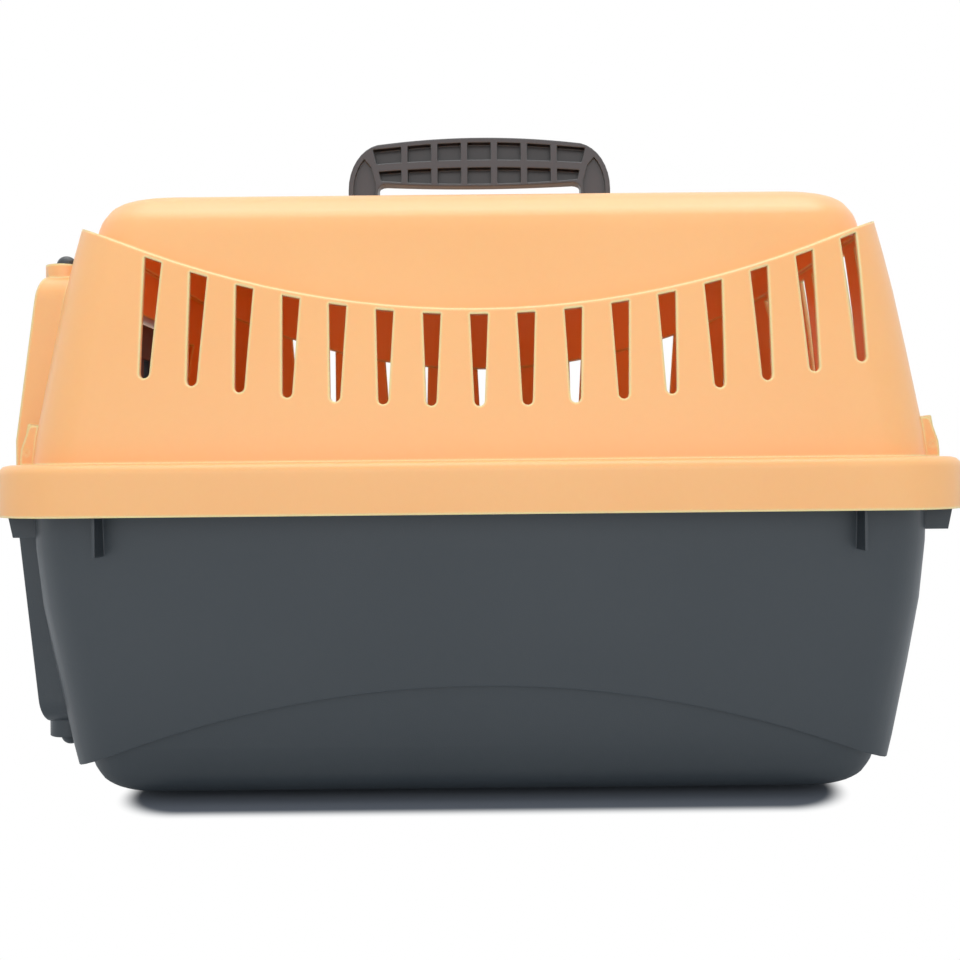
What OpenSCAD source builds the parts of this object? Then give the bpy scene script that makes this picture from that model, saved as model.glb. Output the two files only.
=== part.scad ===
// Two-piece moulded travel carrier for a cat or a small dog.
// X runs along the length with the door at -X, Y across the width, Z up from the floor.
// The origin is at the middle of the footprint, on the floor.

/* [Overall] */
// Length over the rim that joins the two shells
rim_len = 480; // [450:5:520]
// Width over the rim
rim_w = 315; // [295:5:340]
// Height of the rim's top edge above the floor
rim_z = 172; // [164:1:184]
// Rise of the roof's crown above the rim's top edge
roof_rise = 147.5; // [142:0.5:160]
// Wall thickness of both shells
wall = 2.5; // [2.2:0.1:3]
// Corner radius of the rim in plan
rim_corner = 45; // [40:1:60]
// Corner radius of the shell walls in plan
wall_corner = 32; // [28:1:40]

/* [Rim] */
// Height of the skirt that laps over the bottom shell
rim_h = 25; // [20:1:30]
// Radius of the skirt's rounded top edge
rim_edge = 5; // [3:0.5:6]
// Play between the skirt and the bottom shell's flange
rim_play = 0.7; // [0.4:0.1:1.2]
// Thickness of the bottom shell's flange
flange_t = 3; // [2.4:0.1:4]

/* [Curved ledge] */
// Height of the ledge above the rim at mid length
ledge_low = 75; // [70:1:80]
// Height of the ledge above the rim at the end walls
ledge_high = 124; // [118:1:130]
// Step from the vented wall in to the roof on the long sides
ledge_side = 3.5; // [3:0.5:5]
// Step from the vented wall in to the roof on the end walls
ledge_end = 7.5; // [5:0.5:9]

/* [Vents] */
// Number of vents on each long side
vent_count = 16; // [12:1:16]
// Distance between neighbouring vents
vent_pitch = 23.2; // [20:0.2:23.6]
// Offset of the row of vents towards the rear
vent_shift = 12; // [6:1:12]
// Width of a vent at its top
vent_top_w = 8.8; // [7:0.2:10]
// Width of a vent at its rounded bottom
vent_low_w = 5; // [4:0.2:6]
// Distance from the ledge down to a vent's top
vent_gap = 2.7; // [2.7:0.1:5]
// Height of the vents' bottoms above the rim at mid length
vent_low = 26.3; // [22:0.5:34]
// Rise of the vents' bottoms from mid length to the end walls
vent_low_rise = 25; // [15:1:30]
// Number of vents in the rear wall
rear_vent_count = 9; // [5:2:9]
// Distance between neighbouring vents in the rear wall
rear_vent_pitch = 23.5; // [20:0.5:25]
// Height of the rear vents' tops above the rim
rear_vent_top = 117; // [100:1:118]
// Height of the rear vents' bottoms above the rim
rear_vent_low = 46; // [30:1:60]

/* [Lower panel] */
// Height of the lower panel's curved step at mid length
panel_high = 62; // [54:1:72]
// Height of the lower panel's curved step at the end walls
panel_low = 18.5; // [14:0.5:26]
// Depth of the lower panel on the long sides
panel_side = 3; // [2.5:0.5:4]
// Depth of the lower panel on the end walls
panel_end = 5; // [4:0.5:6]
// Height of the foot ring under the floor
foot_h = 3; // [2:0.5:5]
// Width of the foot ring's rib
foot_w = 6; // [4:0.5:10]
// Distance of the foot ring from the floor's edge at the ends
foot_end = 21.5; // [12:0.5:30]
// Distance of the foot ring from the floor's edge at the sides
foot_side = 12; // [6:0.5:20]
// Corner radius of the foot ring
foot_corner = 30; // [20:1:40]

/* [Door frame] */
// Distance from the rim's side to the frame that stands out from the front wall
frame_side = 53.5; // [50:0.5:57]
// Width of the frame beside the doorway
jamb = 11; // [9:0.5:13]
// Height of the doorway's lower edge
doorway_low = 42; // [40:1:50]
// Height of the doorway's upper edge
doorway_high = 267; // [258:1:267]
// Thickness of the frame under the doorway
sill_t = 5; // [4:0.5:7]
// Thickness of the frame over the doorway
lintel_t = 5; // [4:0.5:6]
// Backward lean of the frame's front over the rim, for each millimetre of height
frame_lean = 0.14; // [0.1:0.005:0.15]
// Backward lean of the frame's front under the rim, for each millimetre of height
frame_lean_low = 0.108; // [0.08:0.002:0.13]

/* [Door] */
// Play between the door's edge and the doorway
door_play = 0.6; // [0.4:0.1:1.2]
// Gap over the door
door_top_gap = 4; // [2:0.5:6]
// Gap under the door
door_low_gap = 1.5; // [1:0.25:3]
// Radius of the door's round upright tubes
stile_r = 7.5; // [7.2:0.1:8]
// Thickness of the door's rails and bars
door_t = 9; // [7:0.5:10]
// Height of the door's upper and lower rail
rail_h = 22; // [16:1:26]
// Width of a grille bar
bar_w = 4.6; // [4:0.2:6]
// Distance between neighbouring grille bars
bar_pitch = 14.4; // [13:0.2:16]
// Half height of the opening round the finger pads
pad_window = 62; // [58:1:66]

/* [Door bolts] */
// Radius of a bolt
bolt_r = 5.2; // [4.8:0.1:5.4]
// Play round a bolt
bolt_play = 0.2; // [0.15:0.05:0.3]
// Travel of a bolt
bolt_travel = 20; // [19:0.5:21]
// Length of a bolt's tip beyond its boss
bolt_proud = 6; // [4:0.5:6]
// Height of the upper boss above the frame's top
boss_rise = 6.5; // [5:0.5:8]
// Depth of the lower boss below the frame
boss_drop = 8; // [6:0.5:10]
// Radius of the bosses
boss_r = 10.5; // [9.5:0.5:11]
// Distance of the bolts' axes behind the rim's front
hinge_back = 19; // [18:0.5:22]
// Length of a spring with its bolt out
spring_len = 36; // [34:1:38]
// Radius of the spring wire
wire_r = 0.55; // [0.4:0.05:0.7]
// Mean radius of the spring
coil_r = 4.1; // [3.6:0.1:4.4]
// Number of curls of a spring
coil_turns = 6; // [4:1:8]
// Height of a finger pad
pad_h = 8; // [6:0.5:9]
// Reach of a finger pad from the bolt's axis
pad_reach = 22; // [20:0.5:24]

/* [Handle] */
// Half width over the handle's legs
handle_half = 81; // [76:1:90]
// Width of a leg
leg_w = 18; // [14:0.5:20]
// Height of the grip's top over the pivots
handle_rise = 63.5; // [60:0.5:66]
// Height of the grip at its middle
grip_h = 30; // [28:0.5:33]
// Thickness of the handle
handle_t = 13; // [11:0.5:13]
// Width of the handle's rounded outer corners
handle_corner = 22; // [18:1:26]
// Height of the handle's rounded outer corners
corner_fall = 28.5; // [22:0.5:32]
// Crown of the grip's top edge
grip_crown = 3.5; // [1:0.5:5]
// Sag of the grip's lower edge
grip_sag = 2; // [1:0.5:4]
// Number of pockets in a row
pocket_count = 7; // [5:2:7]
// Distance between neighbouring pockets
pocket_pitch = 18.5; // [16:0.1:19]
// Thickness of the ribs between pockets
pocket_rib = 4; // [3:0.2:6]
// Border over the upper pockets
pocket_border = 2.8; // [2:0.2:5]
// Depth of the long rib between the two rows of pockets, below the grip's top
pocket_row = 15.9; // [14:0.1:17]
// Thickness of the long rib
pocket_mid = 4.8; // [3:0.2:6]
// Height of the edge under the lower pockets
pocket_sill = 1.6; // [1.2:0.2:3]
// Distance from the handle's side to the pockets at the grip's top
pocket_side = 13.4; // [12:0.2:16]
// Lean of the end pockets' outer sides, for each millimetre of height
pocket_lean = 0.263; // [0.1:0.001:0.3]
// Width of the struts beside the pockets
strut_w = 4; // [3:0.2:5]
// Depth of the pockets
pocket_depth = 5; // [3:0.5:8]
// Depth of the pivots' axis below the roof's crown
pivot_drop = 9.5; // [9:0.5:12]
// Radius of the handle's pivots
pivot_r = 4; // [3:0.25:4.5]
// Play round a pivot
pivot_play = 0.3; // [0.2:0.05:0.5]
// Play between a leg and the side of its recess
leg_play = 0.8; // [0.5:0.1:1.5]
// Play under and before the folded handle
fold_play = 1; // [0.6:0.1:2]

/* [Shell clips] */
// Distance from the door frame's side to the middle of a clip
clip_beside = 9.5; // [9:0.5:11]
// Width of a clip
clip_w = 11; // [8:0.5:12]
// Height of a clip's finger tab above the rim
clip_up = 21; // [16:1:26]
// Height of a clip's pivot above the rim
clip_pivot_up = 6.5; // [5:0.5:8]
// Distance of a clip's pivot behind the rim's end
clip_back = 14; // [13.8:0.1:14.2]
// Depth of a clip's hook below the rim
clip_down = 21.5; // [20.5:0.5:23]
// Thickness of a clip's arm
clip_t = 2.2; // [1.8:0.1:2.6]
// Reach of a clip's hook under its catch
hook_reach = 2; // [1.5:0.1:2.4]
// Radius of a clip's pivot pin
clip_pin_r = 1.5; // [1.2:0.1:1.6]
// Play round a clip and its pin
clip_play = 0.25; // [0.15:0.05:0.35]
// Thickness of a clip's ears and cheeks
ear_t = 2.4; // [2.2:0.1:2.8]
// Depth of a clip's pin in each ear
pin_in = 1.3; // [1:0.1:1.5]

/* [Hidden] */

PEACH = "#f9bc81";
GREY = "#484c50";
STEEL = "#b9bcc0";

rim_x = rim_len / 2;
rim_y = rim_w / 2;
steps = 7;                       // facets round a corner of a lofted skin
seam_z = rim_z - wall;           // the shells meet here, under the rim's top
skirt_z = rim_z - rim_h;
roof_z = rim_z + roof_rise;

// The vented wall, as a share of the roof's rise with its inset from the rim at the ends and the sides
BAND = [[-0.3, 15.5, 14], [0, 15.5, 14], [0.09, 16.3, 16], [0.23, 18.7, 20], [0.39, 21.2, 25],
    [0.58, 24.2, 31.5], [0.73, 27.2, 37], [0.9, 31, 43.6]];
// The roof above the ledge, in the same way, from its shoulder to its crown
ROOF = [[0.842, 37.4, 44.8], [0.9, 38.4, 52], [0.94, 40.5, 59.5], [0.967, 45, 69],
    [0.981, 53, 78.5], [0.9895, 70, 91], [1, 135, 121]];
// The bottom shell, as a share of the seam's height
TUB = [[0.08, 30.5, 32.5], [0.18, 27.5, 30], [0.41, 21.5, 25], [0.6, 17.5, 20], [0.77, 15.8, 16.5],
    [1, 15.5, 14]];
// The rounded lower edge inside the curved step, as a height over the foot ring
KEEL = [[0, 67, 66], [0.5, 57, 56.5], [2, 49.2, 47.5], [4.5, 44, 42], [8.5, 40.2, 38.5],
    [14, 37.5, 36.5]];

function band_ring(s, out_x = 0, out_y = 0) =
    [rim_z + roof_rise * s[0], rim_x - s[1] - out_x, rim_y - s[2] - out_y, wall_corner];
function tub_ring(s, out_x = 0, out_y = 0) =
    [seam_z * s[0], rim_x - s[1] - out_x, rim_y - s[2] - out_y, wall_corner];
function keel_ring(s) = [foot_h + s[0], rim_x - s[1], rim_y - s[2], wall_corner - 4];
function at_share(t, s, c) = lookup(s, [for (r = t) [r[0], r[c]]]);
function share_row(t, s) = [s, at_share(t, s, 1), at_share(t, s, 2)];

// A table with rows put in between on a smooth curve
function between(t, i, u) =
    let (a = t[max(i - 1, 0)], b = t[i], c = t[i + 1], d = t[min(i + 2, len(t) - 1)])
    0.5 * (2 * b + u * (c - a) + u * u * (2 * a - 5 * b + 4 * c - d)
        + u * u * u * (3 * b - a - 3 * c + d));
function finer(t, n) = concat(
    [for (i = [0:len(t) - 2]) for (j = [0:n - 1]) between(t, i, j / n)],
    [t[len(t) - 1]]);

BAND_RINGS = [for (s = BAND) band_ring(s)];
ROOF_FINE = finer(concat([share_row(BAND, 0.7) + [0, ledge_end, ledge_side]], ROOF), 3);
DOME_RINGS = concat([for (s = [0.38, 0.48, 0.58])
    band_ring(share_row(BAND, s), ledge_end, ledge_side)], [for (s = ROOF_FINE) band_ring(s)]);
TUB_RINGS = [for (s = TUB) tub_ring(s)];
KEEL_RINGS = concat([for (s = finer(KEEL, 2)) keel_ring(s)],
    [for (s = [0.18, 0.3, 0.45]) tub_ring(share_row(TUB, s), panel_end, panel_side)]);

// Points of a rounded rectangle, and a loft through a list of rings [z, half x, half y, radius]
function corner_pts(cx, cy, r, a) =
    [for (i = [0:steps]) [cx + r * cos(a + 90 * i / steps), cy + r * sin(a + 90 * i / steps)]];
function rounded_pts(hx, hy, r) = concat(
    corner_pts(hx - r, hy - r, r, 0),
    corner_pts(r - hx, hy - r, r, 90),
    corner_pts(r - hx, r - hy, r, 180),
    corner_pts(hx - r, r - hy, r, 270));

// A ring drawn in by the wall, square to the skin's own slope
function slope(rings, i, c) =
    let (a = rings[max(i - 1, 0)], b = rings[min(i + 1, len(rings) - 1)])
    let (d = [b[c] - a[c], b[0] - a[0]]) d / norm(d);
function inner_rings(rings) = [for (i = [0:len(rings) - 1])
    let (nx = slope(rings, i, 1), ny = slope(rings, i, 2), s = rings[i])
    [s[0] + wall * ny[0], s[1] - wall * nx[1], s[2] - wall * ny[1], s[3] - wall]];

module loft(rings) {
    m = 4 * (steps + 1);
    n = len(rings);
    polyhedron(
        [for (s = rings) for (p = rounded_pts(s[1], s[2], s[3])) [p[0], p[1], s[0]]],
        concat(
            [[for (i = [0:m - 1]) i]],
            [[for (i = [0:m - 1]) n * m - 1 - i]],
            [for (k = [0:n - 2]) for (i = [0:m - 1]) let (j = (i + 1) % m)
                [k * m + i, (k + 1) * m + i, (k + 1) * m + j]],
            [for (k = [0:n - 2]) for (i = [0:m - 1]) let (j = (i + 1) % m)
                [k * m + i, (k + 1) * m + j, k * m + j]]));
}

// A profile drawn in X and Z, carried along Y
module across(y0, y1) {
    translate([0, y1, 0])
        rotate([90, 0, 0])
            linear_extrude(height = y1 - y0)
                children();
}

// A profile drawn in Y and Z, carried along X
module along(x0, x1) {
    translate([x0, 0, 0])
        rotate([90, 0, 90])
            linear_extrude(height = x1 - x0)
                children();
}

module mirror_y() {
    children();
    mirror([0, 1, 0])
        children();
}

module mirror_x() {
    children();
    mirror([1, 0, 0])
        children();
}

// A rounded rectangle that keeps true arcs
module round_box(x0, z0, x1, z1, r) {
    translate([x0 + r, z0])
        square([x1 - x0 - 2 * r, z1 - z0]);
    translate([x0, z0 + r])
        square([x1 - x0, z1 - z0 - 2 * r]);
    for (x = [x0 + r, x1 - r], z = [z0 + r, z1 - r])
        translate([x, z])
            circle(r, $fn = 48);
}

// Heights along the two curves that are drawn on the sides
end_x = rim_x - 32;
function ledge_at(x) = rim_z + ledge_low + (ledge_high - ledge_low) * pow(x / end_x, 2);
function vent_low_at(x) = rim_z + vent_low + vent_low_rise * pow(x / end_x, 2);
function panel_at(x) = panel_high - (panel_high - panel_low) * pow(x / end_x, 2);
CURVE_X = [for (i = [-16:16]) (rim_x + 2) * i / 16];

module under_ledge(drop) {
    across(-rim_y - 5, rim_y + 5)
        polygon(concat([[-rim_x - 2, rim_z - 60]],
            [[rim_x + 2, rim_z - 60]],
            [for (i = [32:-1:0]) [CURVE_X[i], ledge_at(CURVE_X[i]) - drop]]));
}

module over_panel(lift) {
    across(-rim_y - 5, rim_y + 5)
        polygon(concat([[rim_x + 2, rim_z + 5]],
            [[-rim_x - 2, rim_z + 5]],
            [for (x = CURVE_X) [x, panel_at(x) + lift]]));
}

// One tapered vent with a rounded bottom
module vent(x, top_l, top_r, low) {
    r = vent_low_w / 2;
    polygon(concat([[x - vent_top_w / 2, top_l]],
        [[x + vent_top_w / 2, top_r]],
        [for (a = [0:-22.5:-180]) [x + r * cos(a), low + r + r * sin(a)]]));
}

module side_vents() {
    for (k = [0:vent_count - 1]) {
        x = vent_shift + (k - (vent_count - 1) / 2) * vent_pitch;
        across(-rim_y, rim_y)
            vent(x, ledge_at(x - vent_top_w / 2) - vent_gap,
                ledge_at(x + vent_top_w / 2) - vent_gap, vent_low_at(x));
    }
}

module rear_vents() {
    for (k = [0:rear_vent_count - 1])
        along(rim_x - 60, rim_x)
            vent((k - (rear_vent_count - 1) / 2) * rear_vent_pitch,
                rim_z + rear_vent_top, rim_z + rear_vent_top, rim_z + rear_vent_low);
}

// The frame round the doorway, shared by both shells
frame_half = rim_y - frame_side;
doorway_half = frame_half - jamb;
hinge_x = -rim_x + hinge_back;
hinge_y = doorway_half - door_play - stile_r;
frame_low = doorway_low - sill_t;
frame_high = doorway_high + lintel_t;
lean_z = rim_z + 13;

module frame_front() {
    intersection() {
        across(-frame_half, frame_half)
            polygon([[-rim_x, seam_z],
                [-rim_x, lean_z],
                [-rim_x + (frame_high - lean_z) * frame_lean, frame_high],
                [-rim_x + 45, frame_high],
                [-rim_x + 45, seam_z]]);
        along(-rim_x - 1, -rim_x + 46)
            round_box(-frame_half, frame_low, frame_half, frame_high, 14);
    }
}

module frame_front_low() {
    lap_x = -rim_x + wall + 0.3;
    lap_z = skirt_z - 0.3;
    intersection() {
        across(-frame_half, frame_half)
            polygon([[lap_x, seam_z],
                [lap_x, lap_z],
                [-rim_x, lap_z],
                [-rim_x + (lap_z - frame_low) * frame_lean_low, frame_low],
                [-rim_x + 45, frame_low],
                [-rim_x + 45, seam_z]]);
        along(-rim_x - 1, -rim_x + 46)
            round_box(-frame_half, frame_low, frame_half, frame_high, 14);
    }
}

// Hollows between the frame's inner and outer side walls, open to the inside
module frame_hollows() {
    z0 = frame_low + sill_t + 4;
    z1 = frame_high - lintel_t - 6;
    mirror_y()
        across(doorway_half + wall, frame_half - wall)
            polygon([[-rim_x + 2 * wall, seam_z],
                [-rim_x + 2 * wall + (seam_z - z0) * frame_lean_low, z0],
                [-rim_x + 45, z0],
                [-rim_x + 45, z1],
                [-rim_x + 2 * wall + (z1 - lean_z) * frame_lean, z1],
                [-rim_x + 2 * wall, lean_z]]);
}

module doorway() {
    along(-rim_x - 5, -rim_x + 50)
        round_box(-doorway_half, doorway_low, doorway_half, doorway_high, 2);
}

// The recess that takes the folded handle
pivot_z = roof_z - pivot_drop;
recess_half = handle_half + leg_play;
recess_z = pivot_z - handle_t / 2 - fold_play;
recess_front = handle_rise + 4 * fold_play;
recess_back = handle_t / 2 + 2 * fold_play;
recess_corner = 3;

module recess_block() {
    translate([0, 0, recess_z - wall])
        linear_extrude(height = roof_z - recess_z + 10)
            round_box(-recess_half - wall, -recess_front - wall,
                recess_half + wall, recess_back + wall, recess_corner + wall);
    mirror_x()
        translate([recess_half, 0, pivot_z])
            rotate([0, 90, 0])
                cylinder(r = pivot_r + 3.5, h = wall + 4, $fn = 48);
}

module recess_pocket() {
    translate([0, 0, recess_z])
        linear_extrude(height = roof_z - recess_z + 10)
            round_box(-recess_half, -recess_front, recess_half, recess_back, recess_corner);
    translate([-recess_half - wall - 5, 0, pivot_z])
        rotate([0, 90, 0])
            cylinder(r = pivot_r + pivot_play, h = 2 * (recess_half + wall + 5), $fn = 48);
}

// The clips and what they turn in and catch on, drawn for the rear corner at +Y
clip_y = frame_half + clip_beside;
clip_x = rim_x - clip_back;
clip_z = rim_z + clip_pivot_up;
arm_in = clip_x - 0.8;                // the arm's inner face over the flange
arm_low = arm_in + 3.7;               // and under it, where it steps out round its catch
catch_x = arm_low - clip_play;
hook_z = rim_z - clip_down;
hook_top = hook_z + 3.5 - clip_play;
catch_z = hook_top + clip_play;
ear_y = clip_w / 2 + clip_play;
tab_z = rim_z + clip_up;

module clip_corners() {
    for (sx = [-1, 1], sy = [-1, 1])
        scale([sx, sy, 1])
            translate([0, clip_y, 0])
                children();
}

// The guards beside each tab, hollowed with the wall that they stand on
module clip_ears() {
    mirror_y()
        across(ear_y, ear_y + ear_t)
            polygon([[clip_x - 12, seam_z],
                [clip_x + 3.3, seam_z],
                [clip_x + 3.3, rim_z + 3],
                [clip_x + 2.8, clip_z + 1.6],
                [clip_x - 0.9, tab_z - 2.4],
                [clip_x - 2.2, tab_z - 1],
                [clip_x - 12, tab_z - 1]]);
}

module clip_ear_bores() {
    translate([clip_x, -ear_y - pin_in - clip_play, clip_z])
        rotate([-90, 0, 0])
            cylinder(r = clip_pin_r + clip_play, h = 2 * (ear_y + pin_in + clip_play), $fn = 32);
}

module clip_slot() {
    translate([arm_in - clip_play, -ear_y, seam_z - 1])
        cube([clip_t + clip_play + 1.6, 2 * ear_y, wall + 2]);
}

module clip_cheeks() {
    mirror_y()
        across(ear_y + 0.6, ear_y + 0.6 + ear_t)
            polygon([[rim_x - 19, skirt_z - 11],
                [rim_x - 7, skirt_z - 11],
                [rim_x - 4, skirt_z + 3],
                [rim_x - 4, seam_z - flange_t + 0.5],
                [rim_x - 19, seam_z - flange_t + 0.5]]);
    across(-ear_y - 0.8, ear_y + 0.8)
        polygon([[rim_x - 18.5, catch_z],
            [catch_x, catch_z],
            [catch_x, catch_z + 2.5],
            [rim_x - 18.5, catch_z + 5]]);
}

module clip_notch() {
    translate([arm_in - clip_play, -ear_y - 0.3, seam_z - flange_t - 1])
        cube([20, 2 * ear_y + 0.6, flange_t + 2]);
}

module clip_lever() {
    across(-clip_w / 2, clip_w / 2)
        polygon([[arm_low, hook_top],
            [arm_low - hook_reach, hook_top],
            [arm_low, hook_z],
            [arm_low + clip_t, hook_z],
            [arm_low + clip_t, seam_z - flange_t - 1.5],
            [arm_in + clip_t, seam_z],
            [arm_in + clip_t, rim_z + 0.6],
            [clip_x + 3.8, rim_z + 0.6],
            [clip_x + 3.7, rim_z + 2.5],
            [clip_x + 0.6, tab_z - 0.6],
            [clip_x - 0.2, tab_z],
            [clip_x - 1.2, tab_z - 0.8],
            [clip_x - 1.2, clip_z],
            [arm_in, rim_z + 1.5],
            [arm_in, seam_z - flange_t + 1.5],
            [arm_low, seam_z - flange_t - 2.5]]);
    translate([clip_x, -ear_y - pin_in, clip_z])
        rotate([-90, 0, 0])
            cylinder(r = clip_pin_r, h = 2 * (ear_y + pin_in), $fn = 32);
}

module clip(sx, sy) {
    color(PEACH)
        scale([sx, sy, 1])
            translate([0, clip_y, 0])
                clip_lever();
}

module top_shell() {
    color(PEACH)
        difference() {
            union() {
                difference() {
                    union() {
                        intersection() {
                            loft(BAND_RINGS);
                            under_ledge(0);
                        }
                        loft(DOME_RINGS);
                        frame_front();
                        clip_corners()
                            clip_ears();
                    }
                    difference() {
                        union() {
                            intersection() {
                                loft(inner_rings(BAND_RINGS));
                                under_ledge(wall);
                            }
                            loft(inner_rings(DOME_RINGS));
                        }
                        recess_block();
                    }
                    translate([-rim_x, -rim_y, 0])
                        cube([rim_len, rim_w, seam_z]);
                }
                difference() {
                    loft([[skirt_z, rim_x, rim_y, rim_corner],
                        [rim_z - rim_edge, rim_x, rim_y, rim_corner],
                        [rim_z - rim_edge * 0.5, rim_x - rim_edge * 0.14, rim_y - rim_edge * 0.14, rim_corner],
                        [rim_z - rim_edge * 0.14, rim_x - rim_edge * 0.5, rim_y - rim_edge * 0.5, rim_corner - 2],
                        [rim_z, rim_x - rim_edge, rim_y - rim_edge, rim_corner - 4]]);
                    loft([[skirt_z - 1, rim_x - wall, rim_y - wall, rim_corner - wall],
                        [seam_z, rim_x - wall, rim_y - wall, rim_corner - wall]]);
                    loft(inner_rings(BAND_RINGS));
                }
                mirror_y()
                    translate([hinge_x, hinge_y, doorway_high])
                        cylinder(r = boss_r, h = lintel_t + boss_rise, $fn = 64);
            }
            recess_pocket();
            side_vents();
            rear_vents();
            doorway();
            frame_hollows();
            mirror_y()
                translate([hinge_x, hinge_y, doorway_high - 1])
                    cylinder(r = bolt_r + bolt_play, h = lintel_t + boss_rise + 2, $fn = 48);
            clip_corners()
                clip_ear_bores();
            clip_corners()
                clip_slot();
        }
}

module foot_outline(inset) {
    hx = rim_x - KEEL[0][1] - foot_end - inset;
    hy = rim_y - KEEL[0][2] - foot_side - inset;
    round_box(-hx, -hy, hx, hy, foot_corner - inset);
}

module bottom_shell() {
    flange_x = rim_x - wall - rim_play;
    flange_y = rim_y - wall - rim_play;
    color(GREY)
        difference() {
            union() {
                difference() {
                    union() {
                        intersection() {
                            loft(TUB_RINGS);
                            over_panel(0);
                        }
                        loft(KEEL_RINGS);
                        frame_front_low();
                    }
                    intersection() {
                        loft(concat(inner_rings(TUB_RINGS),
                            [[seam_z + 5, rim_x - 15.5 - wall, rim_y - 14 - wall, wall_corner - wall]]));
                        over_panel(wall);
                    }
                    loft(inner_rings(KEEL_RINGS));
                }
                difference() {
                    loft([[seam_z - flange_t, flange_x, flange_y, rim_corner - wall - rim_play],
                        [seam_z, flange_x, flange_y, rim_corner - wall - rim_play]]);
                    loft([[seam_z - flange_t - 1, rim_x - 16.8, rim_y - 15.3, wall_corner - 1],
                        [seam_z + 1, rim_x - 16.8, rim_y - 15.3, wall_corner - 1]]);
                }
                mirror_y()
                    translate([hinge_x, hinge_y, frame_low - boss_drop])
                        cylinder(r = boss_r, h = sill_t + boss_drop, $fn = 64);
                clip_corners()
                    clip_cheeks();
                mirror_x()
                    mirror_y()
                        across(rim_y - 18, rim_y - 6)
                            polygon([[rim_x - 59.8, skirt_z - 19],
                                [rim_x - 58.4, skirt_z - 19],
                                [rim_x - 58.4, seam_z - 1],
                                [rim_x - 59.8, seam_z - 1]]);
                difference() {
                    linear_extrude(height = foot_h + wall / 2)
                        foot_outline(0);
                    translate([0, 0, -1])
                        linear_extrude(height = foot_h + 1)
                            foot_outline(foot_w);
                }
            }
            doorway();
            frame_hollows();
            mirror_y()
                translate([hinge_x, hinge_y, frame_low - boss_drop - 1])
                    cylinder(r = bolt_r + bolt_play, h = sill_t + boss_drop + 2, $fn = 48);
            clip_corners()
                clip_notch();
        }
}

// The handle's outline in X and Z, with the pivots' axis at the origin
top_x = handle_half - handle_corner;
leg_in = handle_half - leg_w;
grip_z = handle_rise - grip_h;
function grip_top(x) = handle_rise - grip_crown * pow(x / top_x, 2);
function grip_low(x) = grip_z + grip_sag * pow(x / top_x, 2);
function grip_mid(x) = handle_rise - pocket_row - 0.55 * grip_crown * pow(x / top_x, 2);
function corner_z(a, inset) = grip_top(top_x) - corner_fall + (corner_fall - inset) * sin(a);
function pocket_line(z) = handle_half - pocket_side - pocket_lean * (handle_rise - z);

module handle_outline() {
    fillet = 5;
    low_end = grip_low(leg_in - fillet);
    polygon(concat([for (i = [-12:12]) [top_x * i / 12, grip_top(top_x * i / 12)]],
        [for (a = [80:-10:0]) [top_x + handle_corner * cos(a), corner_z(a, 0)]],
        [[handle_half, 0]],
        [[leg_in, 0]],
        [for (a = [0:22.5:90]) [leg_in - fillet + fillet * cos(a), low_end - fillet + fillet * sin(a)]],
        [for (i = [11:-1:-11]) [(leg_in - fillet) * i / 12, grip_low((leg_in - fillet) * i / 12)]],
        [for (a = [90:22.5:180]) [fillet - leg_in + fillet * cos(a), low_end - fillet + fillet * sin(a)]],
        [[-leg_in, 0]],
        [[-handle_half, 0]],
        [for (a = [180:-10:100]) [-top_x + handle_corner * cos(a), corner_z(a, 0)]]));
}

// One pocket of the grip's front; the end ones lean with the strut beside them
module handle_pocket(k, upper) {
    side = k < 0 ? -1 : 1;
    half_w = (pocket_pitch - pocket_rib) / 2;
    x0 = abs(k) * pocket_pitch - half_w;
    x1 = abs(k) * pocket_pitch + half_w;
    last = abs(k) == (pocket_count - 1) / 2;
    t0 = upper ? grip_top(x0) - pocket_border : grip_mid(x0) - pocket_mid / 2;
    t1 = upper ? grip_top(x1) - pocket_border : grip_mid(x1) - pocket_mid / 2;
    b0 = upper ? grip_mid(x0) + pocket_mid / 2 : grip_low(x0) + pocket_sill;
    b1 = upper ? grip_mid(x1) + pocket_mid / 2 : grip_low(x1) + pocket_sill;
    polygon([[side * x0, t0],
        [side * (last ? pocket_line(t1) : x1), t1],
        [side * (last ? pocket_line(b1) : x1), b1],
        [side * x0, b0]]);
}

// The shallow panel on the front of a leg, outside the strut
module leg_panel() {
    edge = 3;
    polygon(concat([[leg_in + 1.5, pivot_drop + 4]],
        [[handle_half - edge, pivot_drop + 4]],
        [for (a = [0:10:50]) [top_x + (handle_corner - edge) * cos(a), corner_z(a, edge)]],
        [for (z = [corner_z(50, edge) - 5, grip_z + 2]) [pocket_line(z) + strut_w, z]]));
}

module carry_handle() {
    half = (pocket_count - 1) / 2;
    color(GREY)
        translate([0, 0, pivot_z])
            difference() {
                union() {
                    across(-handle_t / 2, handle_t / 2)
                        handle_outline();
                    mirror_x()
                        translate([leg_in, 0, 0])
                            rotate([0, 90, 0])
                                cylinder(r = handle_t / 2, h = leg_w, $fn = 64);
                    translate([-recess_half - wall - 3, 0, 0])
                        rotate([0, 90, 0])
                            difference() {
                                cylinder(r = pivot_r, h = 2 * (recess_half + wall + 3), $fn = 48);
                                translate([0, 0, recess_half + wall + 3 - leg_in])
                                    cylinder(r = pivot_r + 1, h = 2 * leg_in, $fn = 48);
                            }
                }
                for (k = [-half:half], upper = [true, false])
                    across(-handle_t / 2 - 1, -handle_t / 2 + pocket_depth)
                        handle_pocket(k, upper);
                mirror_x()
                    across(-handle_t / 2 - 1, -handle_t / 2 + 2)
                        leg_panel();
                along(-leg_in, leg_in)
                    polygon([[0.5, grip_z - 3],
                        [0.5, grip_z],
                        [handle_t / 2 + 1, grip_z + handle_t / 2 + 0.5],
                        [handle_t / 2 + 1, grip_z - 3]]);
            }
}

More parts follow.
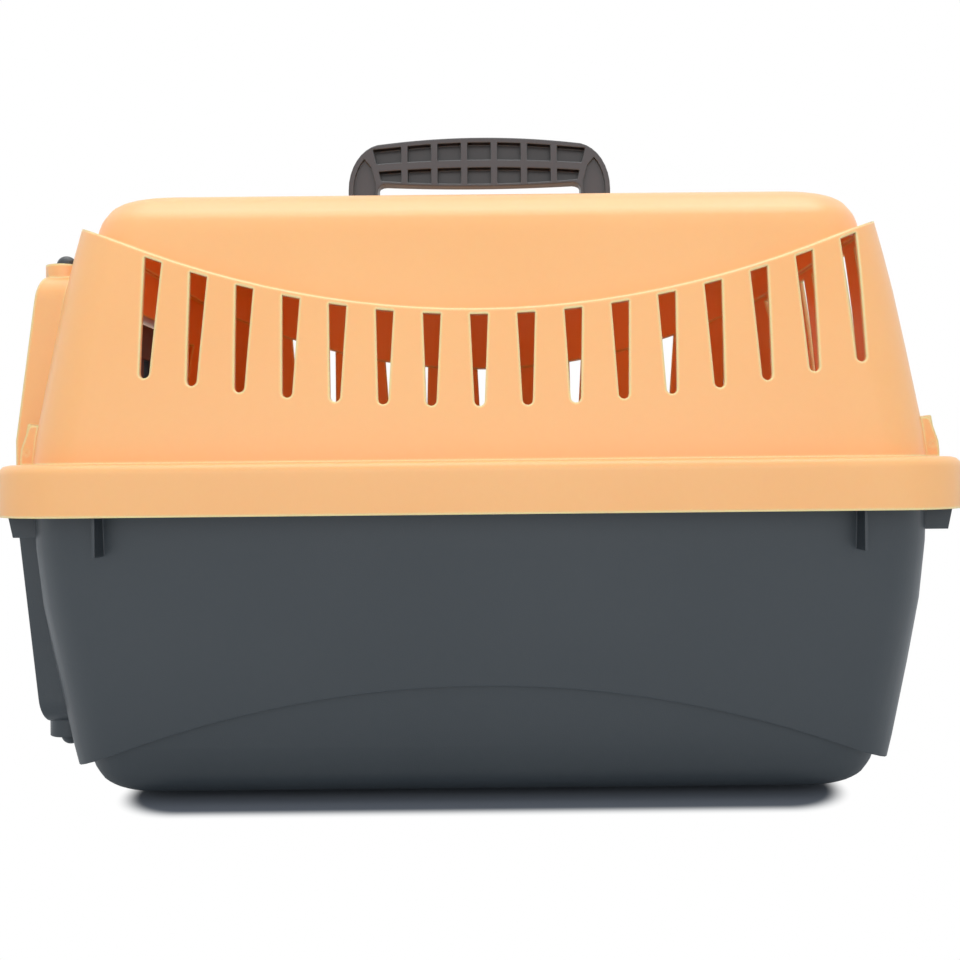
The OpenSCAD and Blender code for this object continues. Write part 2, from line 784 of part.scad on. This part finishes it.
// The door stands in the doorway between its four bolts
door_z0 = doorway_low + door_low_gap;
door_z1 = doorway_high - door_top_gap;
door_mid = (door_z0 + door_z1) / 2;
stop_half = 2;
arm_w = 4.4;

module door_bars() {
    inner = hinge_y - stile_r - 0.5;
    bars = floor((hinge_y - pad_reach - 2) / bar_pitch);
    for (k = [-bars:bars])
        translate([hinge_x - door_t / 2 + 1, k * bar_pitch - bar_w / 2, door_z0 + rail_h - 1])
            cube([door_t - 2, bar_w, door_z1 - door_z0 - 2 * rail_h + 2]);
    mirror_y()
        for (z = [door_z0 + rail_h - 1, door_mid + pad_window + bar_w / 2])
            translate([hinge_x - door_t / 2 + 1, (bars + 0.8) * bar_pitch - bar_w / 2, z])
                cube([door_t - 2, bar_w, (door_z1 - door_z0) / 2 - rail_h - pad_window - bar_w / 2 + 1]);
    for (z = [door_mid - pad_window - bar_w, door_mid + pad_window])
        translate([hinge_x - door_t / 2, -inner, z])
            cube([door_t, 2 * inner, bar_w]);
}

module door_grille() {
    color(GREY)
        difference() {
            union() {
                mirror_y()
                    translate([hinge_x, hinge_y, door_z0])
                        cylinder(r = stile_r, h = door_z1 - door_z0, $fn = 64);
                for (z = [door_z0, door_z1 - rail_h])
                    translate([hinge_x - door_t / 2, -hinge_y, z])
                        cube([door_t, 2 * hinge_y, rail_h]);
                door_bars();
            }
            mirror_y()
                for (z = [door_z0 - 1, door_mid + stop_half])
                    translate([hinge_x, hinge_y, z])
                        cylinder(r = bolt_r + bolt_play, h = (door_z1 - door_z0) / 2 + 1 - stop_half, $fn = 48);
            mirror_y()
                for (s = [-1, 1])
                    translate([hinge_x - arm_w / 2 - 0.3, hinge_y - stile_r - 2,
                        door_mid + s * (stop_half + spring_len + pad_h / 2 - bolt_travel / 2)
                            - bolt_travel / 2 - pad_h / 2 - 0.5])
                        cube([arm_w + 0.6, stile_r, bolt_travel + pad_h + 1]);
        }
}

// One bolt with its finger pad, drawn upwards from the stop at the door's mid height
module bolt(tip) {
    base = stop_half + spring_len;
    cylinder_top = tip - bolt_r;
    translate([0, 0, base])
        cylinder(r = bolt_r, h = cylinder_top - base, $fn = 48);
    translate([0, 0, cylinder_top])
        intersection() {
            sphere(r = bolt_r, $fn = 48);
            translate([-bolt_r, -bolt_r, -0.01])
                cube([2 * bolt_r, 2 * bolt_r, 2 * bolt_r]);
        }
    translate([-arm_w / 2, -stile_r - 3, base])
        cube([arm_w, stile_r + 3, pad_h]);
    translate([-door_t / 2 - 1.5, -pad_reach, base])
        cube([door_t + 3, pad_reach - stile_r - 1, pad_h]);
}

upper_tip = frame_high + boss_rise + bolt_proud - door_mid;
lower_tip = door_mid - (frame_low - boss_drop - bolt_proud);

module upper_bolt(side, drawn) {
    color(GREY)
        scale([1, side, 1])
            translate([hinge_x, hinge_y, door_mid - drawn])
                bolt(upper_tip);
}

module lower_bolt(side, drawn) {
    color(GREY)
        scale([1, side, 1])
            translate([hinge_x, hinge_y, door_mid + drawn])
                mirror([0, 0, 1])
                    bolt(lower_tip);
}

// A coil of six-sided wire between the stop and the bolt
function coil_point(t, len) = [coil_r * cos(360 * t), coil_r * sin(360 * t),
    wire_r + (len - 2 * wire_r) * t / coil_turns];
function coil_path(len) = [for (i = [0:8 * coil_turns]) coil_point(i / 8, len)];
function coil_gap(len) = min([for (i = [0:8 * (coil_turns - 1)])
    norm(coil_path(len)[i + 8] - coil_path(len)[i])]) - 2 * wire_r;

module coil(len) {
    path = coil_path(len);
    n = len(path);
    polyhedron(
        [for (i = [0:n - 1]) for (a = [0:60:300])
            let (u = [cos(45 * i), sin(45 * i), 0])
            path[i] + wire_r * (u * cos(a + 30) + [0, 0, 1] * sin(a + 30))],
        concat(
            [[5, 4, 3, 2, 1, 0]],
            [[for (j = [0:5]) 6 * (n - 1) + j]],
            [for (i = [0:n - 2]) for (j = [0:5]) let (k = (j + 1) % 6)
                [6 * i + j, 6 * i + k, 6 * i + 6 + k]],
            [for (i = [0:n - 2]) for (j = [0:5]) let (k = (j + 1) % 6)
                [6 * i + j, 6 * i + 6 + k, 6 * i + 6 + j]]));
}

module spring(side, up, len) {
    color(STEEL)
        translate([hinge_x, side * hinge_y, door_mid + up * stop_half])
            scale([1, 1, up])
                coil(len);
}

echo(least_gap_in_a_coil = min(coil_gap(spring_len), coil_gap(spring_len - bolt_travel)));

bottom_shell();
top_shell();
carry_handle();
door_grille();
upper_bolt(-1, 0);  // hinge_bolt_upper
lower_bolt(-1, 0);  // hinge_bolt_lower
spring(-1, 1, spring_len);  // hinge_spring_upper
spring(-1, -1, spring_len);  // hinge_spring_lower
upper_bolt(1, bolt_travel);  // latch_bolt_upper
lower_bolt(1, bolt_travel);  // latch_bolt_lower
spring(1, 1, spring_len - bolt_travel);  // latch_spring_upper
spring(1, -1, spring_len - bolt_travel);  // latch_spring_lower
clip(-1, -1);  // shell_clip_front_right
clip(-1, 1);  // shell_clip_front_left
clip(1, -1);  // shell_clip_rear_right
clip(1, 1);  // shell_clip_rear_left
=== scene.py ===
import math

import bmesh
import bpy
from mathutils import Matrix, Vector


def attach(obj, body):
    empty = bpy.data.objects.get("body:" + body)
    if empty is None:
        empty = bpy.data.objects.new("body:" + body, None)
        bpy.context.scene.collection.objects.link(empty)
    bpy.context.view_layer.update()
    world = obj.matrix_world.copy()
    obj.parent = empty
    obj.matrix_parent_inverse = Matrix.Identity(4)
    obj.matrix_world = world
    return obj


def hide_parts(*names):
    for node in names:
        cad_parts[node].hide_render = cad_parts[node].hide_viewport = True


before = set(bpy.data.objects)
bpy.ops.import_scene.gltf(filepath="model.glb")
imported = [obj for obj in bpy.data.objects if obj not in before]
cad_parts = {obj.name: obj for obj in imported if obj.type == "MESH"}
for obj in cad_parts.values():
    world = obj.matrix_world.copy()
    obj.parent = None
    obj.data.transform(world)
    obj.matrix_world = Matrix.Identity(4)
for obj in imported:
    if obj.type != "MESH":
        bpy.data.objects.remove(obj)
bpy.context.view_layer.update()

# Every length and place is in metres.

# Camera

PHOTO_PIXELS = 960.0                # the photograph is a square this wide
FOCAL_PIXELS = 954.0                # focal length that its perspective gives
LENS_SHIFT = (-0.0120, -0.0094)     # its vanishing point lies right of the middle and above it
SENSOR_MM = 36.0
EYE = (0.0058, -0.5975, 0.167)      # the camera's place, in front of the side wall
LEVEL = math.radians(90.0)          # it looks level, along +Y
ROLL = math.radians(0.57)
NEAREST = 0.02
FARTHEST = 60.0


def make_camera():
    """The photograph's own view, from close in front of the side wall."""
    cam = bpy.data.cameras.new("view_camera")
    cam.sensor_width = SENSOR_MM
    cam.lens = SENSOR_MM * FOCAL_PIXELS / PHOTO_PIXELS
    cam.shift_x, cam.shift_y = LENS_SHIFT
    cam.clip_start = NEAREST
    cam.clip_end = FARTHEST
    obj = bpy.data.objects.new("view_camera", cam)
    obj.location = EYE
    obj.rotation_euler = (LEVEL, ROLL, 0.0)
    bpy.context.scene.collection.objects.link(obj)
    bpy.context.scene.camera = obj


# Building blocks of the materials

NODE_STEP = 220                     # nodes stand in a row in the editor, this far apart


def opaque(colour):
    return (*colour, 1.0)


def new_material(name):
    """A material with its node tree and its shader."""
    mat = bpy.data.materials.new(name)
    mat.use_nodes = True
    return mat, mat.node_tree, mat.node_tree.nodes["Principled BSDF"]


def add_node(tree, kind, **settings):
    node = tree.nodes.new(kind)
    node.location = (NODE_STEP * len(tree.nodes), 0)
    for key, value in settings.items():
        setattr(node, key, value)
    return node


def feed(tree, socket, source):
    """Link a socket to another node's output, or give it a plain value."""
    if isinstance(source, bpy.types.NodeSocket):
        tree.links.new(source, socket)
    else:
        socket.default_value = source


def object_coords(tree):
    """Places on the object itself, so that a pattern moves with its piece."""
    return add_node(tree, "ShaderNodeTexCoord").outputs["Object"]


def noise(tree, coords, scale, detail=2.0):
    node = add_node(tree, "ShaderNodeTexNoise")
    feed(tree, node.inputs["Vector"], coords)
    feed(tree, node.inputs["Scale"], scale)
    feed(tree, node.inputs["Detail"], detail)
    return node.outputs["Fac"]


def maths(tree, operation, *terms):
    """An operation on its terms, each a number or another node's output."""
    node = add_node(tree, "ShaderNodeMath", operation=operation)
    for socket, term in zip(node.inputs, terms):
        feed(tree, socket, term)
    return node.outputs[0]


def vector_maths(tree, operation, result, *terms):
    """The same on vectors. The result is "Vector", or "Value" where it is a number."""
    node = add_node(tree, "ShaderNodeVectorMath", operation=operation)
    for socket, term in zip(node.inputs, terms):
        feed(tree, socket, term)
    return node.outputs[result]


def remap(tree, value, span, onto=(0.0, 1.0), **settings):
    """A value's span stretched onto another, and held at its ends."""
    node = add_node(tree, "ShaderNodeMapRange", **settings)
    feed(tree, node.inputs["Value"], value)
    for name, number in zip(("From Min", "From Max", "To Min", "To Max"), (*span, *onto)):
        feed(tree, node.inputs[name], number)
    return node.outputs["Result"]


def mix_colours(tree, share, first, second):
    """The first colour where the share is 0 and the second where it is 1."""
    node = add_node(tree, "ShaderNodeMix", data_type="RGBA")
    feed(tree, node.inputs["Factor"], share)
    feed(tree, node.inputs["A"], first)
    feed(tree, node.inputs["B"], second)
    return node.outputs["Result"]


def mix_shaders(tree, share, first, second):
    node = add_node(tree, "ShaderNodeMixShader")
    feed(tree, node.inputs[0], share)
    feed(tree, node.inputs[1], first)
    feed(tree, node.inputs[2], second)
    return node.outputs["Shader"]


# Plastics

FLOW_SCALE = 9.0                    # broad marks of the melt's flow, in cells per metre
FLOW_DETAIL = 3.0
SPECK_SCALE = 260.0                 # and small specks of tone on top of them
SPECK_SHARE = 0.25
TONE_SPAN = (0.4, 0.85)             # part of the two noises' sum that goes from shade to colour
GLOSS_SPAN = (0.3, 0.7)             # part of the flow marks that goes from smoother to rougher
SMOOTHER = 0.04                     # how far the roughness falls and rises with the flow marks
ROUGHER = 0.05
GRAIN_DETAIL = 1.5
GRAIN_DEPTH = 0.0004
EDGE_SAMPLES = 6
PAINTED_HIGHLIGHT_TURN = (0.995, 0.93)           # cosines between which an edge gets its painted highlight
PAINTED_SHADE_SAMPLES = 6
PAINTED_SHADE_REACH = 0.011                # how far the painted pocket shade looks for the walls that shut a pocket in
PAINTED_SHADE_CONTRAST = 2.2
PLASTIC_IOR = 1.5
GLOW_RADIUS = (1.0, 0.42, 0.16)     # red light goes deepest into the peach plastic
GLOW_DEPTH = 0.004


def mottled_tone(tree, coords, flow, shade, colour):
    """Shade and colour mixed by the flow marks and the specks."""
    speck = noise(tree, coords, SPECK_SCALE)
    marks = maths(tree, "MULTIPLY_ADD", speck, SPECK_SHARE, flow)
    return mix_colours(tree, remap(tree, marks, TONE_SPAN), opaque(shade), opaque(colour))


def painted_pocket_shade(tree, tone, painted_dark):
    """Painted shade: the tone goes towards a darker one in the pockets, where the walls around shut out
    light.
    """
    sky = add_node(tree, "ShaderNodeAmbientOcclusion", samples=PAINTED_SHADE_SAMPLES)
    sky.inputs["Distance"].default_value = PAINTED_SHADE_REACH
    open_sky = maths(tree, "POWER", sky.outputs["AO"], PAINTED_SHADE_CONTRAST)
    return mix_colours(tree, open_sky, opaque(painted_dark), tone)


def rounded_normal(tree, radius):
    """The surface's direction as if its edges had this radius."""
    corner = add_node(tree, "ShaderNodeBevel", samples=EDGE_SAMPLES)
    corner.inputs["Radius"].default_value = radius
    return corner.outputs["Normal"]


def painted_edge_highlight(tree, tone, edge, rounded):
    """Painted highlight: the tone goes paler near an edge, where the rounded surface turns away from the
    face's own.
    """
    own = add_node(tree, "ShaderNodeNewGeometry").outputs["Normal"]
    turn = vector_maths(tree, "DOT_PRODUCT", "Value", rounded, own)
    return mix_colours(tree, remap(tree, turn, PAINTED_HIGHLIGHT_TURN), tone, opaque(edge))


def spark_grain(tree, coords, grain, strength, rounded):
    """The mould's fine texture, as relief on the rounded surface."""
    relief = add_node(tree, "ShaderNodeBump")
    relief.inputs["Strength"].default_value = strength
    relief.inputs["Distance"].default_value = GRAIN_DEPTH
    feed(tree, relief.inputs["Height"], noise(tree, coords, grain, GRAIN_DETAIL))
    feed(tree, relief.inputs["Normal"], rounded)
    return relief.outputs["Normal"]


def plastic(name, colour, shade, edge, rough, grain, relief, radius, glow=0.0, painted_shade=None):
    """Satin moulded plastic with faint flow marks, uneven gloss, a fine grain, a painted highlight along
    its edges and, where asked, painted shade in its pockets.
    """
    mat, tree, bsdf = new_material(name)
    coords = object_coords(tree)
    flow = noise(tree, coords, FLOW_SCALE, FLOW_DETAIL)
    rounded = rounded_normal(tree, radius)
    tone = mottled_tone(tree, coords, flow, shade, colour)
    # painted shade in the pockets, where a colour for it is given
    if painted_shade:
        tone = painted_pocket_shade(tree, tone, painted_shade)
    gloss = remap(tree, flow, GLOSS_SPAN, (rough - SMOOTHER, rough + ROUGHER))
    # the base colour carries the painted highlight along the edges
    feed(tree, bsdf.inputs["Base Color"], painted_edge_highlight(tree, tone, edge, rounded))
    feed(tree, bsdf.inputs["Roughness"], gloss)
    feed(tree, bsdf.inputs["Normal"], spark_grain(tree, coords, grain, relief, rounded))
    bsdf.inputs["IOR"].default_value = PLASTIC_IOR
    if glow:
        bsdf.inputs["Subsurface Weight"].default_value = glow
        bsdf.inputs["Subsurface Radius"].default_value = GLOW_RADIUS
        bsdf.inputs["Subsurface Scale"].default_value = GLOW_DEPTH
    return mat


def peach_plastic():
    """Upper shell and clips, in a thin plastic that lets a little light through, with a painted highlight
    on its edges.
    """
    return plastic("peach_plastic",
                   colour=(0.955, 0.503, 0.206), shade=(0.938, 0.478, 0.189), edge=(1.0, 0.86, 0.44),
                   rough=0.35, grain=1400.0, relief=0.08, radius=0.0024, glow=0.2)


def dark_plastic():
    """Lower shell and bolts, in a bluish grey, with a painted highlight on its edges."""
    return plastic("dark_plastic",
                   colour=(0.037, 0.046, 0.054), shade=(0.032, 0.041, 0.049), edge=(0.055, 0.066, 0.076),
                   rough=0.38, grain=1500.0, relief=0.12, radius=0.0010)


def handle_plastic():
    """Carry handle, in a warmer grey, with painted shade down in its pockets and a painted highlight on its
    edges.
    """
    return plastic("handle_plastic",
                   colour=(0.049, 0.040, 0.043), shade=(0.042, 0.034, 0.037), edge=(0.090, 0.096, 0.102),
                   rough=0.36, grain=1500.0, relief=0.14, radius=0.0014, painted_shade=(0.004, 0.001, 0.001))


def door_plastic():
    """Door grille, a little darker than the lower shell, with a painted highlight on its edges."""
    return plastic("door_plastic",
                   colour=(0.034, 0.038, 0.043), shade=(0.029, 0.033, 0.038), edge=(0.050, 0.058, 0.066),
                   rough=0.38, grain=1500.0, relief=0.12, radius=0.0007)


# Spring wire

STREAK_SCALE = 900.0
WIRE_ROUGHNESS = (0.22, 0.42)
WIRE_DARK = (0.42, 0.43, 0.44)
WIRE_BRIGHT = (0.60, 0.60, 0.61)


def wire_steel():
    """Bright drawn wire, streaked in tone and gloss."""
    mat, tree, bsdf = new_material("drawn_wire")
    streak = noise(tree, object_coords(tree), STREAK_SCALE)
    feed(tree, bsdf.inputs["Roughness"], remap(tree, streak, (0.0, 1.0), WIRE_ROUGHNESS))
    feed(tree, bsdf.inputs["Base Color"], mix_colours(tree, streak, opaque(WIRE_DARK), opaque(WIRE_BRIGHT)))
    bsdf.inputs["Metallic"].default_value = 1.0
    return mat


PEACH = peach_plastic()
DARK = dark_plastic()
HANDLE = handle_plastic()
DOOR = door_plastic()
WIRE = wire_steel()


# Pieces

SHELLS = ("top_shell", "bottom_shell")
NODE_MATERIAL = {
    "top_shell": PEACH,
    "bottom_shell": DARK,
    "carry_handle": HANDLE,
    "door_grille": DOOR,
}
ROUNDING = {                        # radius of the moulded edges
    "carry_handle": 0.0007,
    "door_grille": 0.0005,
}
SMALL_ROUNDING = 0.0004
ROUNDING_STEPS = 2
ROUNDED_TURN = math.radians(34.0)   # edges that turn more than this are rounded
JOIN_GAP = 0.00001                  # points of the solid's facets that are closer are one point
FLAT_TURN = math.radians(0.6)       # facets that turn less than this are one face
SHARP_TURN = math.radians(50.0)     # edges that turn more than this part the shading
BROAD_FACE_WEIGHT = 60


def material_for(node):
    """The clips share the upper shell's plastic, and the bolts the lower shell's."""
    if "spring" in node:
        return WIRE
    if "clip" in node:
        return PEACH
    return NODE_MATERIAL.get(node, DARK)


def rounding_for(node):
    """No rounding on the wires, which are round already."""
    if "spring" in node:
        return 0.0
    return ROUNDING.get(node, SMALL_ROUNDING)


def weight_normals(obj):
    """Let the broad faces rule the shading, so that they stay even beside the edges."""
    shading = obj.modifiers.new("broad_faces", "WEIGHTED_NORMAL")
    shading.mode = "FACE_AREA"
    shading.weight = BROAD_FACE_WEIGHT
    shading.keep_sharp = True


def round_edges(obj, radius):
    """Round the moulded edges, as far as the short edges beside them leave room."""
    edge = obj.modifiers.new("soft_edges", "BEVEL")
    edge.width = radius
    edge.segments = ROUNDING_STEPS
    edge.limit_method = "ANGLE"
    edge.angle_limit = ROUNDED_TURN
    edge.use_clamp_overlap = True
    edge.miter_outer = "MITER_ARC"


def dress_node(node):
    """Keep the node's solid, soften its moulded edges and give it its material."""
    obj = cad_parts[node]
    obj.data.materials.clear()
    obj.data.materials.append(material_for(node))
    weld = obj.modifiers.new("join", "WELD")
    weld.merge_threshold = JOIN_GAP
    radius = rounding_for(node)
    if radius:
        round_edges(obj, radius)
        weight_normals(obj)


def join_facets(mesh):
    """Make one face of each flat stretch, smooth except over its sharp edges."""
    bm = bmesh.new()
    bm.from_mesh(mesh)
    bmesh.ops.remove_doubles(bm, verts=bm.verts, dist=JOIN_GAP)
    bmesh.ops.dissolve_limit(bm, angle_limit=FLAT_TURN, verts=bm.verts, edges=bm.edges)
    for face in bm.faces:
        face.smooth = True
    for edge in bm.edges:
        edge.smooth = len(edge.link_faces) != 2 or edge.calc_face_angle(0.0) < SHARP_TURN
    bm.to_mesh(mesh)
    bm.free()


def moulded_copy(node, name, body):
    """A copy of a shell's own mesh, with clean faces for clean shading."""
    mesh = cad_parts[node].data.copy()
    mesh.name = name
    mesh.materials.clear()
    mesh.materials.append(material_for(node))
    join_facets(mesh)
    obj = bpy.data.objects.new(name, mesh)
    bpy.context.scene.collection.objects.link(obj)
    weight_normals(obj)
    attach(obj, body)
    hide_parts(node)


# Floor

FLOOR_HALF = 8.0
FLOOR_ROUGHNESS = 0.7
FLOOR_SPECULAR = 0.2
SHADE_HALF = (0.150, 0.096, 0.0)    # half size of the ground painted darker as a shadow under the carrier
SHADE_FADE = (0.028, 0.041)         # it ends between these distances outside that box
# Painted shadow: the floor's own colour is darker under the carrier, beneath the shadow it casts.
PAINTED_SHADOW_GROUND = (0.20, 0.23, 0.28)
GROUND_AROUND = (0.82, 0.87, 0.92)


def distance_outside(tree, half):
    """How far a place on the floor lies outside a box round the middle."""
    folded = vector_maths(tree, "ABSOLUTE", "Vector", object_coords(tree))
    past = vector_maths(tree, "SUBTRACT", "Vector", folded, half)
    kept = vector_maths(tree, "MAXIMUM", "Vector", past)
    return vector_maths(tree, "LENGTH", "Value", kept)


def floor_material():
    """Plain white to the camera, except under the carrier, where its own shadow falls on ground painted
    darker as a painted shadow.
    """
    mat, tree, bsdf = new_material("pale_floor")
    away = remap(tree, distance_outside(tree, SHADE_HALF), SHADE_FADE, interpolation_type="SMOOTHSTEP")
    # the ground colour holds the painted shadow under the carrier
    ground = mix_colours(tree, away, opaque(PAINTED_SHADOW_GROUND), opaque(GROUND_AROUND))
    feed(tree, bsdf.inputs["Base Color"], ground)
    bsdf.inputs["Roughness"].default_value = FLOOR_ROUGHNESS
    bsdf.inputs["Specular IOR Level"].default_value = FLOOR_SPECULAR
    white = add_node(tree, "ShaderNodeEmission")
    white.inputs["Strength"].default_value = 1.0
    path = add_node(tree, "ShaderNodeLightPath")
    plain = maths(tree, "MULTIPLY", path.outputs["Is Camera Ray"], away)
    surface = mix_shaders(tree, plain, bsdf.outputs["BSDF"], white.outputs["Emission"])
    feed(tree, tree.nodes["Material Output"].inputs["Surface"], surface)
    return mat


def make_floor():
    mesh = bpy.data.meshes.new("stage_floor")
    corners = [(x * FLOOR_HALF, y * FLOOR_HALF, 0.0) for x, y in ((-1, -1), (1, -1), (1, 1), (-1, 1))]
    mesh.from_pydata(corners, [], [(0, 1, 2, 3)])
    floor = bpy.data.objects.new("stage_floor", mesh)
    floor.data.materials.append(floor_material())
    bpy.context.scene.collection.objects.link(floor)


# World

WORLD_TINT = (1.0, 0.99, 0.98)
WORLD_LIGHT = 0.55                  # strength at which the world lights the object
WHITE = (1.0, 1.0, 1.0)


def background(tree, colour, strength):
    node = add_node(tree, "ShaderNodeBackground")
    node.inputs["Color"].default_value = opaque(colour)
    node.inputs["Strength"].default_value = strength
    return node.outputs["Background"]


def make_world():
    """White where it is looked at, straight, mirrored or through a clear piece, and dimmer as a lamp."""
    world = bpy.data.worlds.new("studio")
    bpy.context.scene.world = world
    world.use_nodes = True
    tree = world.node_tree
    tree.nodes.clear()
    path = add_node(tree, "ShaderNodeLightPath")
    bent = maths(tree, "MAXIMUM", path.outputs["Is Glossy Ray"], path.outputs["Is Transmission Ray"])
    looked_at = maths(tree, "MAXIMUM", path.outputs["Is Camera Ray"], bent)
    lit = background(tree, WORLD_TINT, WORLD_LIGHT)
    seen = background(tree, WHITE, 1.0)
    out = add_node(tree, "ShaderNodeOutputWorld")
    feed(tree, out.inputs["Surface"], mix_shaders(tree, looked_at, lit, seen))


# Lamps

CABIN_LAMP_X = 0.115                # the two cabin lamps' distance from the middle
CABIN_LAMP_Z = 0.21
CABIN_LAMP_RADIUS = 0.04
CABIN_LAMP_POWER = 0.14
CABIN_LAMP_COLOUR = (1.0, 0.25, 0.03)


def area_light(name, place, aim, size, power):
    """A soft rectangular lamp that faces the point aimed at."""
    lamp = bpy.data.lights.new(name, "AREA")
    lamp.shape = "RECTANGLE"
    lamp.size, lamp.size_y = size
    lamp.energy = power
    obj = bpy.data.objects.new(name, lamp)
    obj.location = place
    obj.rotation_euler = (Vector(aim) - Vector(place)).to_track_quat("-Z", "Y").to_euler()
    bpy.context.scene.collection.objects.link(obj)


def cabin_lamp(end):
    """Half of the light that the thin shell lets through to the inside."""
    lamp = bpy.data.lights.new("cabin_fill", "POINT")
    lamp.shadow_soft_size = CABIN_LAMP_RADIUS
    lamp.energy = CABIN_LAMP_POWER
    lamp.color = CABIN_LAMP_COLOUR
    obj = bpy.data.objects.new("cabin_fill", lamp)
    obj.location = (end * CABIN_LAMP_X, 0.0, CABIN_LAMP_Z)
    obj.visible_camera = False
    obj.visible_glossy = False
    bpy.context.scene.collection.objects.link(obj)


# The scene

make_camera()
make_floor()
make_world()
area_light("top_soft", place=(0.0, -0.10, 1.55), aim=(0.0, 0.0, 0.15), size=(1.6, 1.0), power=14.0)
area_light("front_soft", place=(0.0, -1.9, 0.75), aim=(0.0, 0.0, 0.16), size=(1.8, 1.0), power=9.0)
for end in (-1.0, 1.0):
    cabin_lamp(end)

moulded_copy("top_shell", "upper_shell", "shells")
moulded_copy("bottom_shell", "lower_shell", "shells")
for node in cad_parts:
    if node not in SHELLS:
        dress_node(node)

bpy.context.scene.view_settings.view_transform = "Standard"
